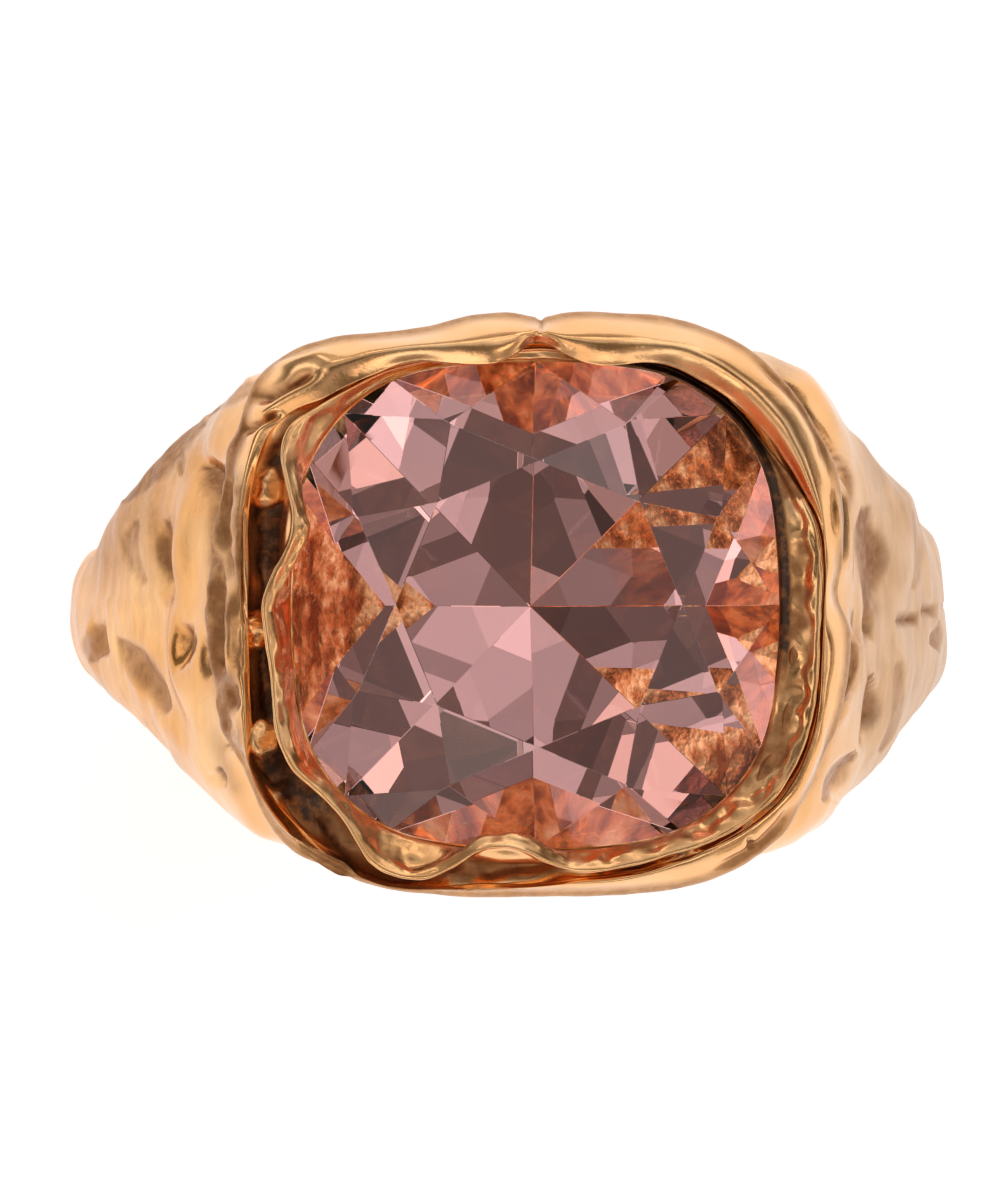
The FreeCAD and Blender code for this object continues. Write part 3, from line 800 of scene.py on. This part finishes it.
def make_head_frame(gold, cup):
    """The border round the setting, with the cup under the stone lined in gold that has a painted glow.
    """
    bm = rolled_skin(FRAME_COLUMNS, FRAME_ROWS, frame_shape)
    points, normals = read_points(bm)
    x, y, z = points.T
    reach = reach_of(points)
    marks = worked(points, FRAME_STROKES) * rising(z, *BORDER_MARKS_Z)
    groove = rising(reach_beside(FRAME_EDGE, points) - reach, 0, 0.25) * rising(z, *GROOVE_Z)
    cupped = (reach < INNER_SEAT_R + CUP_MARGIN[0]) & (z < SEAT_Z + CUP_MARGIN[1])
    band = rising(x, *BAND_X) * (z > BAND_Z)
    border_lumps = 0.06 * rough(points, 1.8, 3) + 0.02 * rough(points, 0.6, 4)
    band_lumps = 0.10 * rough(points, 0.8, 12, (1.4, 0.7, 1)) + 0.05 * rough(points, 0.35, 13)
    lumps = (border_lumps * rising(reach, *BORDER_R) + band_lumps * band
             + 0.22 * rough(points, 0.8, 8) * groove + 0.3 * rough(points, 0.7, 11) * cupped)
    points = clear_bore(points + normals * (marks + lumps)[:, None])
    write_points(bm, points)
    x, y, z = points.T
    under_edge = rising(reach - reach_beside(FRAME_OUTSIDE, points), -0.26, -0.10)
    flank = under_edge * (z > FLANK_Z)
    worn = band * np.clip(0.62 + 1.2 * rough(points, 0.9, 14), 0, 1)
    slot = np.maximum(rising(x, -4.5, -5.5) * rising(y, 4.6, 3.6), rising(y, 5.9, 6.2))
    patina_and_shade = np.clip(np.clip(-marks * 4 - 0.1, 0, 1) + 0.7 * flank + worn, 0, 1)
    # painted shade: the groove between border and collar, darkest in the slot and the top crease, goes
    # dark brown to black
    patina_and_shade = np.maximum(patina_and_shade, groove * (1.2 + 0.5 * slot))
    for face in bm.faces:
        face.material_index = int(all(cupped[vert.index] for vert in face.verts))
    frame_piece = as_piece(bm, "head_frame_casting", gold, "head_frame", patina_and_shade)
    frame_piece.data.materials.append(cup)
    return frame_piece


# degrees round the stone and how far the lip leans in over it, as a share
LIP_LEAN = [(0, 1.0), (22, 0.8), (35, 0.15), (60, 0.1), (90, 0.1), (112, 0.25), (130, 0.5),
            (146, 1), (180, 1), (270, 1), (330, 1)]
COLLAR_FOOT_Z = 12.5
WALL_DROP = 0.75             # of the collar's widest place, under the lip's crest
WALL_SHARE = 0.985           # and its reach, as a share of the crest's


def outer_wall():
    """The collar's outside below its lip, wide enough to close the groove."""
    wall = stone_line(0.36, 0)
    line = []
    for (x, y, _), (crest_r, crest_z) in zip(wall, around_stone(LIP_CREST, turn_of(wall))):
        grow = max(1.0, WALL_SHARE * crest_r / math.hypot(x, y))
        line.append((x * grow, y * grow, crest_z - WALL_DROP))
    return line


def collar_shape(u, v):
    """The collar: up beside the stone, over its wavy lip and down its outside."""
    rows = [
        (stone_line(0.03, COLLAR_FOOT_Z), 0.6),
        (stone_line(0.03, GIRDLE_Z - 0.5), 0.3),
        (stone_line(0.05, GIRDLE_TOP_Z - 0.05), 0.4),
        (moved_line(LIP_CREST, -0.36, -0.20, LIP_LEAN), 0.1),
        (moved_line(LIP_CREST, -0.17, -0.05, LIP_LEAN), 0.0),
        (LIP_CREST, 0.0),
        (moved_line(LIP_CREST, 0.05, -0.14), 0.1),
        (outer_wall(), 0.2),
        (stone_line(0.45, COLLAR_FOOT_Z), 0.6),
    ]
    return sections(rows, u, v)


COLLAR_COLUMNS = 620
COLLAR_ROWS = 110
STONE_SHADE = 1.8            # painted shadow in the line where the collar meets the stone
LOBE_SHADE = 0.95            # painted shadow under the frame's lobes, at the upper right


def make_collar(gold):
    """The thin wall round the stone: smooth along its lip, crumpled inside it."""
    bm = rolled_skin(COLLAR_COLUMNS, COLLAR_ROWS, collar_shape)
    points, normals = read_points(bm)
    x, y, z = points.T
    inside = rising(reach_beside(LIP_CREST, points) - reach_of(points), 0.10, 0.25)
    crumple = np.interp(x, [0, 4], [0.03, 0.055])
    lumps = (0.03 * rough(points, 0.8, 5) + 0.012 * rough(points, 0.3, 6)
             + inside * (0.10 * rough(points, 0.6, 9) + crumple * rough(points, 0.28, 10)))
    lumps *= rising(z - GIRDLE_TOP_Z, -0.2, 0.2)
    points = points + normals * lumps[:, None]
    write_points(bm, points)
    x, y, z = points.T
    patina_and_shade = inside * np.clip(0.45 + 1.8 * rough(points, 0.45, 15), 0, 1) * np.clip(x / 3, 0.35, 1)
    # painted shadow under the frame's lobes, at the upper right
    patina_and_shade = np.where((x > 1.5) & (y > 2.6), LOBE_SHADE, patina_and_shade)
    from_stone = reach_of(points) - reach_beside(stone_line(0, 0), points)
    # painted shadow: a dark line beside the stone's edge, on the right
    shade = rising(from_stone, 0.34, 0.24) * rising(x, 0, 2) * rising(y, -2.5, -1.0)
    patina_and_shade = np.maximum(patina_and_shade, STONE_SHADE * shade)
    return as_piece(bm, "bezel_collar_wall", gold, "bezel_collar", patina_and_shade)


# beads of solder across the slot: x, y, z and radius
TACKS = [(-6.70, -3.3, 14.55, 0.40), (-6.84, -0.6, 14.1, 0.42), (-6.55, 2.9, 14.1, 0.46)]
TACK_SLUMP = (1.15, 1.2, 0.7, 1.0)
TACK_DIRT = 0.2


def make_tacks(gold):
    """Lumps of solder across the open slot."""
    bm = bmesh.new()
    for x, y, z, radius in TACKS:
        seat = Matrix.Translation((x, y, z)) @ Matrix.Diagonal(TACK_SLUMP)
        bmesh.ops.create_icosphere(bm, subdivisions=4, radius=radius, matrix=seat)
    points, normals = read_points(bm)
    points = points + normals * (0.12 * rough(points, 0.35, 7))[:, None]
    write_points(bm, points)
    dirt_and_shade = np.full(len(points), TACK_DIRT)
    return as_piece(bm, "solder_beads", gold, "solder_tacks", dirt_and_shade)


# ---------------------------------------------------------------- stone

TABLE_R = 3.5                # the table's corners from the stone's axis
STAR_TIP = (2.19, 4.42)      # where a star facet's point falls, in plan
GIRDLE_BREAK = (3.51, 5.49)  # where two upper girdle facets meet on the outline
MAIN_TURN = 22.5             # degrees from the stone's side to a pavilion main
MAIN_REACH = 6.41            # where a pavilion main would meet the girdle
LOWER_GIRDLE_REACH = 4.76    # how far in the lower girdle facets run, from the axis
OUTLINE_STEPS = 12           # points along each side and each corner of the outline
STONE_STOCK = 0.5            # rough left under the culet, ground away later
CUT_PLAY = 1e-4              # points this close to a cut lie in it
CUT_WELD = 1e-3              # points this close after a cut are one
FLAT_DEGREES = 0.6           # faces closer to one plane than this are one facet
FACET_EDGE = 0.009           # width worn off the facets' edges
UNDERSIDE = -0.3             # faces that look down more than this are the pavilion's
WET_FROM_X = -1.5            # the left flank, where cement may have run
WET_TIP = (-2.4, 0.0, GIRDLE_Z)  # how far in the cement has run under it
WET_SPREAD = 1.25            # how its edges spread from there


def crystal_facets():
    """One facet of each kind, as three of its points."""
    half_table = TABLE_R / math.sqrt(2)
    corner = STONE_DIAG / math.sqrt(2)
    star_h = CROWN_H * (STONE_HALF - STAR_TIP[1]) / (STONE_HALF - TABLE_R)
    table_side = Vector((0, TABLE_R, TABLE_Z))
    table_corner = Vector((half_table, half_table, TABLE_Z))
    star_tip = Vector((*STAR_TIP, GIRDLE_TOP_Z + star_h))
    side_mid = Vector((0, STONE_HALF, GIRDLE_TOP_Z))
    girdle_break = Vector((*GIRDLE_BREAK, GIRDLE_TOP_Z))
    girdle_corner = Vector((corner, corner, GIRDLE_TOP_Z))
    down = Vector((0, 0, -GIRDLE_H))
    culet = Vector((0, 0, CULET_Z))
    main_az = math.radians(MAIN_TURN)
    reach = LOWER_GIRDLE_REACH
    main_z = CULET_Z + (GIRDLE_Z - CULET_Z) * reach / MAIN_REACH
    main_point = Vector((reach * math.sin(main_az), reach * math.cos(main_az), main_z))
    beside = main_point + Vector((math.cos(main_az), -math.sin(main_az), 0))
    return [
        (table_side, star_tip, side_mid),
        (table_corner, star_tip, girdle_corner),
        (table_side, table_corner, star_tip),
        (side_mid, star_tip, girdle_break),
        (girdle_break, star_tip, girdle_corner),
        (side_mid + down, girdle_break + down, main_point),
        (culet, main_point, beside),
    ]


def cut_facet(bm, points):
    """Grind away what lies beyond the plane through three points."""
    normal = (points[1] - points[0]).cross(points[2] - points[0])
    if normal.dot(points[0] - Vector((0, 0, GIRDLE_Z))) < 0:
        normal.negate()
    everything = bm.verts[:] + bm.edges[:] + bm.faces[:]
    bmesh.ops.bisect_plane(bm, geom=everything, plane_co=points[0], plane_no=normal,
                           clear_outer=True, dist=CUT_PLAY)
    bmesh.ops.remove_doubles(bm, verts=bm.verts, dist=CUT_WELD)
    bmesh.ops.holes_fill(bm, edges=[edge for edge in bm.edges if edge.is_boundary], sides=0)


def make_crystal(glass, cemented):
    """The stone, ground facet by facet from a block with its outline."""
    bm = bmesh.new()
    outline = stone_line(0, CULET_Z - STONE_STOCK, OUTLINE_STEPS)
    bmesh.ops.create_circle(bm, cap_ends=True, radius=STONE_HALF, segments=len(outline))
    write_points(bm, outline)
    grown = bmesh.ops.extrude_face_region(bm, geom=bm.faces[:])
    top = [item for item in grown["geom"] if isinstance(item, bmesh.types.BMVert)]
    bmesh.ops.translate(bm, verts=top, vec=(0, 0, TABLE_Z - CULET_Z + STONE_STOCK))
    bmesh.ops.recalc_face_normals(bm, faces=bm.faces)
    for facet in crystal_facets():
        for quarter in range(4):
            for side in (1, -1):
                turned = Matrix.Rotation(quarter * math.pi / 2, 4, "Z")
                place = turned @ Matrix.Diagonal((side, 1, 1, 1))
                cut_facet(bm, [place @ point for point in facet])
    bmesh.ops.dissolve_limit(bm, angle_limit=math.radians(FLAT_DEGREES), verts=bm.verts,
                             edges=bm.edges)
    bmesh.ops.recalc_face_normals(bm, faces=bm.faces)
    bmesh.ops.bevel(bm, geom=bm.edges[:], offset=FACET_EDGE, offset_type="OFFSET", segments=1,
                    profile=0.5, material=-1, affect="EDGES")
    for side in (1, -1):
        flank = [face for face in bm.faces
                 if face.normal.z < UNDERSIDE and face.calc_center_median().x < WET_FROM_X]
        parts = dict.fromkeys(part for face in flank for part in (*face.verts, *face.edges))
        bmesh.ops.bisect_plane(bm, geom=flank + list(parts), plane_co=WET_TIP,
                               plane_no=(1.0, side * WET_SPREAD, 0))
    for face in bm.faces:
        middle = face.calc_center_median() - Vector(WET_TIP)
        if face.normal.z < UNDERSIDE and middle.x + WET_SPREAD * abs(middle.y) < 0:
            face.material_index = 1        # cement wets this flank, so the gold shows through
    # the wetted flank's gold carries a painted glow
    stone = as_piece(bm, "rose_stone", glass, "crystal", smooth=False)
    stone.data.materials.append(cemented)
    return stone


# ---------------------------------------------------------------- studio

FLOOR_Z = shank_low[2] - 0.07  # just clear of the band's lumps
FLOOR_HALF = 0.4             # metres


def studio_floor():
    """A pale floor for the ring to stand on, which the camera sees as white."""
    bm = bmesh.new()
    bmesh.ops.create_grid(bm, x_segments=1, y_segments=1, size=FLOOR_HALF)
    bmesh.ops.translate(bm, verts=bm.verts, vec=(0, 0, FLOOR_Z * MM))
    recipe = Recipe(bpy.data.materials.new("pale_floor"))
    recipe.set(Base_Color=(0.78, 0.80, 0.83, 1), Roughness=0.8,
               Emission_Color=(0.96, 0.98, 1, 1), Emission_Strength=0.62)
    into_scene("floor", as_mesh(bm, "floor", recipe.holder))


def facing(place, target):
    """A matrix at place whose +Z points away from target and whose +Y is nearest to +Y."""
    back = (place - target).normalized()
    right = Vector((0, 1, 0)).cross(back).normalized()
    up = back.cross(right)
    return Matrix.Translation(place) @ Matrix((right, up, back)).transposed().to_4x4()


VIEW_TARGET = (-0.88, 0.12, GIRDLE_TOP_Z - 0.1)
VIEW_HEIGHT = 29.39          # millimetres that the view takes in, at the target
FILM = 36.0


def studio_camera():
    """A long lens nearly straight above the stone."""
    target = Vector(VIEW_TARGET) * MM
    lean = Vector([-math.sin(math.radians(lean)) for lean in VIEW_LEAN] + [1]).normalized()
    data = bpy.data.cameras.new("camera")
    data.sensor_width = FILM
    data.lens = FILM * VIEW_DISTANCE / VIEW_HEIGHT
    data.clip_start = 0.01
    camera = into_scene("camera", data)
    camera.matrix_world = facing(target + lean * VIEW_DISTANCE * MM, target)
    bpy.context.scene.camera = camera


LIGHTS_AIM = (0, 0, 0.01)
WARM_TINT = (1.0, 0.88, 0.76)


def softbox(name, place, size, power, tint=(1, 1, 1)):
    """A rectangular lamp that faces the ring; metres and watts."""
    data = bpy.data.lights.new(name, "AREA")
    data.shape = "RECTANGLE"
    data.size, data.size_y = size
    data.energy = power
    data.color = tint
    into_scene(name, data).matrix_world = facing(Vector(place), Vector(LIGHTS_AIM))


# the studio's wall and ceiling colours, by height from the floor up to overhead
WALLS = [
    (0, (0.45, 0.38, 0.32)), (0.12, (0.85, 0.77, 0.7)), (0.25, (0.6, 0.53, 0.48)),
    (0.45, (0.35, 0.3, 0.27)), (0.62, (0.42, 0.37, 0.34)), (0.78, (0.62, 0.55, 0.5)),
    (0.88, (0.4, 0.35, 0.32)), (0.97, (0.3, 0.27, 0.25)), (1, (0.16, 0.14, 0.13))]
UNEVEN_LIGHT = [(0.35, (0.62, 0.62, 0.62)), (0.65, (1.0, 1.0, 1.0))]

# the studio's panels: degrees round from +X, degrees down from overhead, half width in
# degrees, soft edge in degrees, brightness and warmth
PANELS = [
    (12, 21, 10, 6, 0.78, 1),
    (60, 26, 15, 7, 0.88, 1),
    (108, 21, 10, 6, 0.78, 1),
    (90, 35, 7, 5, 0.8, 1.02),
    (269, 34, 8, 5, 1.05, 1.04),
    (315, 35, 7, 5, 0.72, 1.06),
    (-60, 26, 15, 8, 0.17, 1.12),
    (165, 24, 8, 5, 0.1, 1.15),
    (-140, 16, 5, 4, 0.42, 1.05),
    (150, 42, 8, 6, 0.7, 1),
    (150, 78, 18, 12, 0.3, 1.15),
    (182, 64, 14, 10, 0.1, 1.2),
    (20, 66, 12, 10, 0.1, 1.35),
    (282, 68, 12, 10, 0.14, 1.35),
    (215, 85, 14, 8, 1.3, 1.04),
    (330, 85, 14, 8, 1.2, 1.04),
    (60, 87, 16, 8, 1.2, 1.04),
    (64, 32, 2, 3, 1.8, 1.08),
    (269, 36, 2, 3, 1.6, 1.12),
    (315, 37, 2, 3, 1.2, 1.12),
    (90, 37, 2, 3, 1.6, 1.12),
    (192, 36, 2, 3, 1.6, 1.1),
    (67, 60, 7, 5, 2.4, 1.03),
    (113, 58, 6, 4, 2.2, 1.03),
    (247, 60, 6, 4, 2.2, 1.05),
    (293, 58, 6, 4, 2, 1.05),
    (202, 60, 4, 4, 1.8, 1.05),
    (-22, 60, 4, 4, 1.6, 1.05),
    (180, 49, 8, 5, 1.9, 1.03),
    (0, 49, 7, 5, 1.7, 1.03),
    (90, 49, 7, 5, 1.6, 1.03),
    (270, 49, 7, 5, 1.7, 1.03),
]


def studio_world():
    """Pale walls, a dimmer ceiling, and soft panels, most of them bright."""
    recipe = Recipe(bpy.data.worlds.new("studio"))
    way = recipe.add("ShaderNodeTexCoord").outputs["Generated"]
    height = recipe.add("ShaderNodeSeparateXYZ", Vector=way).outputs["Z"]
    light = recipe.ramp(height, WALLS)
    for turn, drop, half, soft, bright, warmth in PANELS:
        turn, drop = math.radians(turn), math.radians(drop)
        axis = (math.sin(drop) * math.cos(turn), math.sin(drop) * math.sin(turn), math.cos(drop))
        near = recipe.add("ShaderNodeVectorMath", {"operation": "DOT_PRODUCT"}, _0=way, _1=axis)
        edge = recipe.spread(near.outputs["Value"], 0.0, 1.0, math.cos(math.radians(half + soft)),
                             math.cos(math.radians(half)), "SMOOTHSTEP")
        light = recipe.mix(edge, light, (bright * warmth, bright, bright / warmth))
    uneven = recipe.add("ShaderNodeTexNoise", Vector=way, Scale=2.6, Detail=1.0).outputs["Fac"]
    recipe.set(Color=recipe.mix(1.0, light, recipe.ramp(uneven, UNEVEN_LIGHT), "MULTIPLY"))
    bpy.context.scene.world = recipe.holder


def studio_lights():
    """Three small lamps, dim enough not to veil the stone."""
    softbox("key_light", (0.12, 0.20, 0.38), (0.18, 0.18), 0.045)
    softbox("left_light", (-0.15, -0.22, 0.36), (0.14, 0.18), 0.055, WARM_TINT)
    softbox("front_light", (0.20, -0.20, 0.38), (0.14, 0.10), 0.06, WARM_TINT)
    bpy.context.scene.view_settings.view_transform = "Standard"


body_gold = cast_gold("cast_gold", 0.18, 0.16)
lip_gold = cast_gold("collar_gold", 0.21, 0.10)
# both linings glow as painted light; the seat ledge and back plate take the cup's glow too
inner_gold = glowing_cup_gold("glowing_cup_gold", 0.9, 0.55,
                      (0.36, 0.14, 0.03), (0.95, 0.52, 0.15), (1, 0.85, 0.45))
flank_gold = glowing_cup_gold("cemented_flank", 0.8, 0.40,
                      (0.32, 0.12, 0.035), (0.68, 0.32, 0.105), (1, 0.78, 0.4))
make_shank(body_gold)
make_head_frame(body_gold, inner_gold)
make_collar(lip_gold)
make_tacks(lip_gold)
make_crystal(rose_crystal(), flank_gold)
shown_as_made = {"seat_ledge": inner_gold, "back_plate": inner_gold, "cement": amber_cement()}
for node, finish in shown_as_made.items():
    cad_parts[node].data.materials.clear()
    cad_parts[node].data.materials.append(finish)
studio_floor()
studio_camera()
studio_world()
studio_lights()
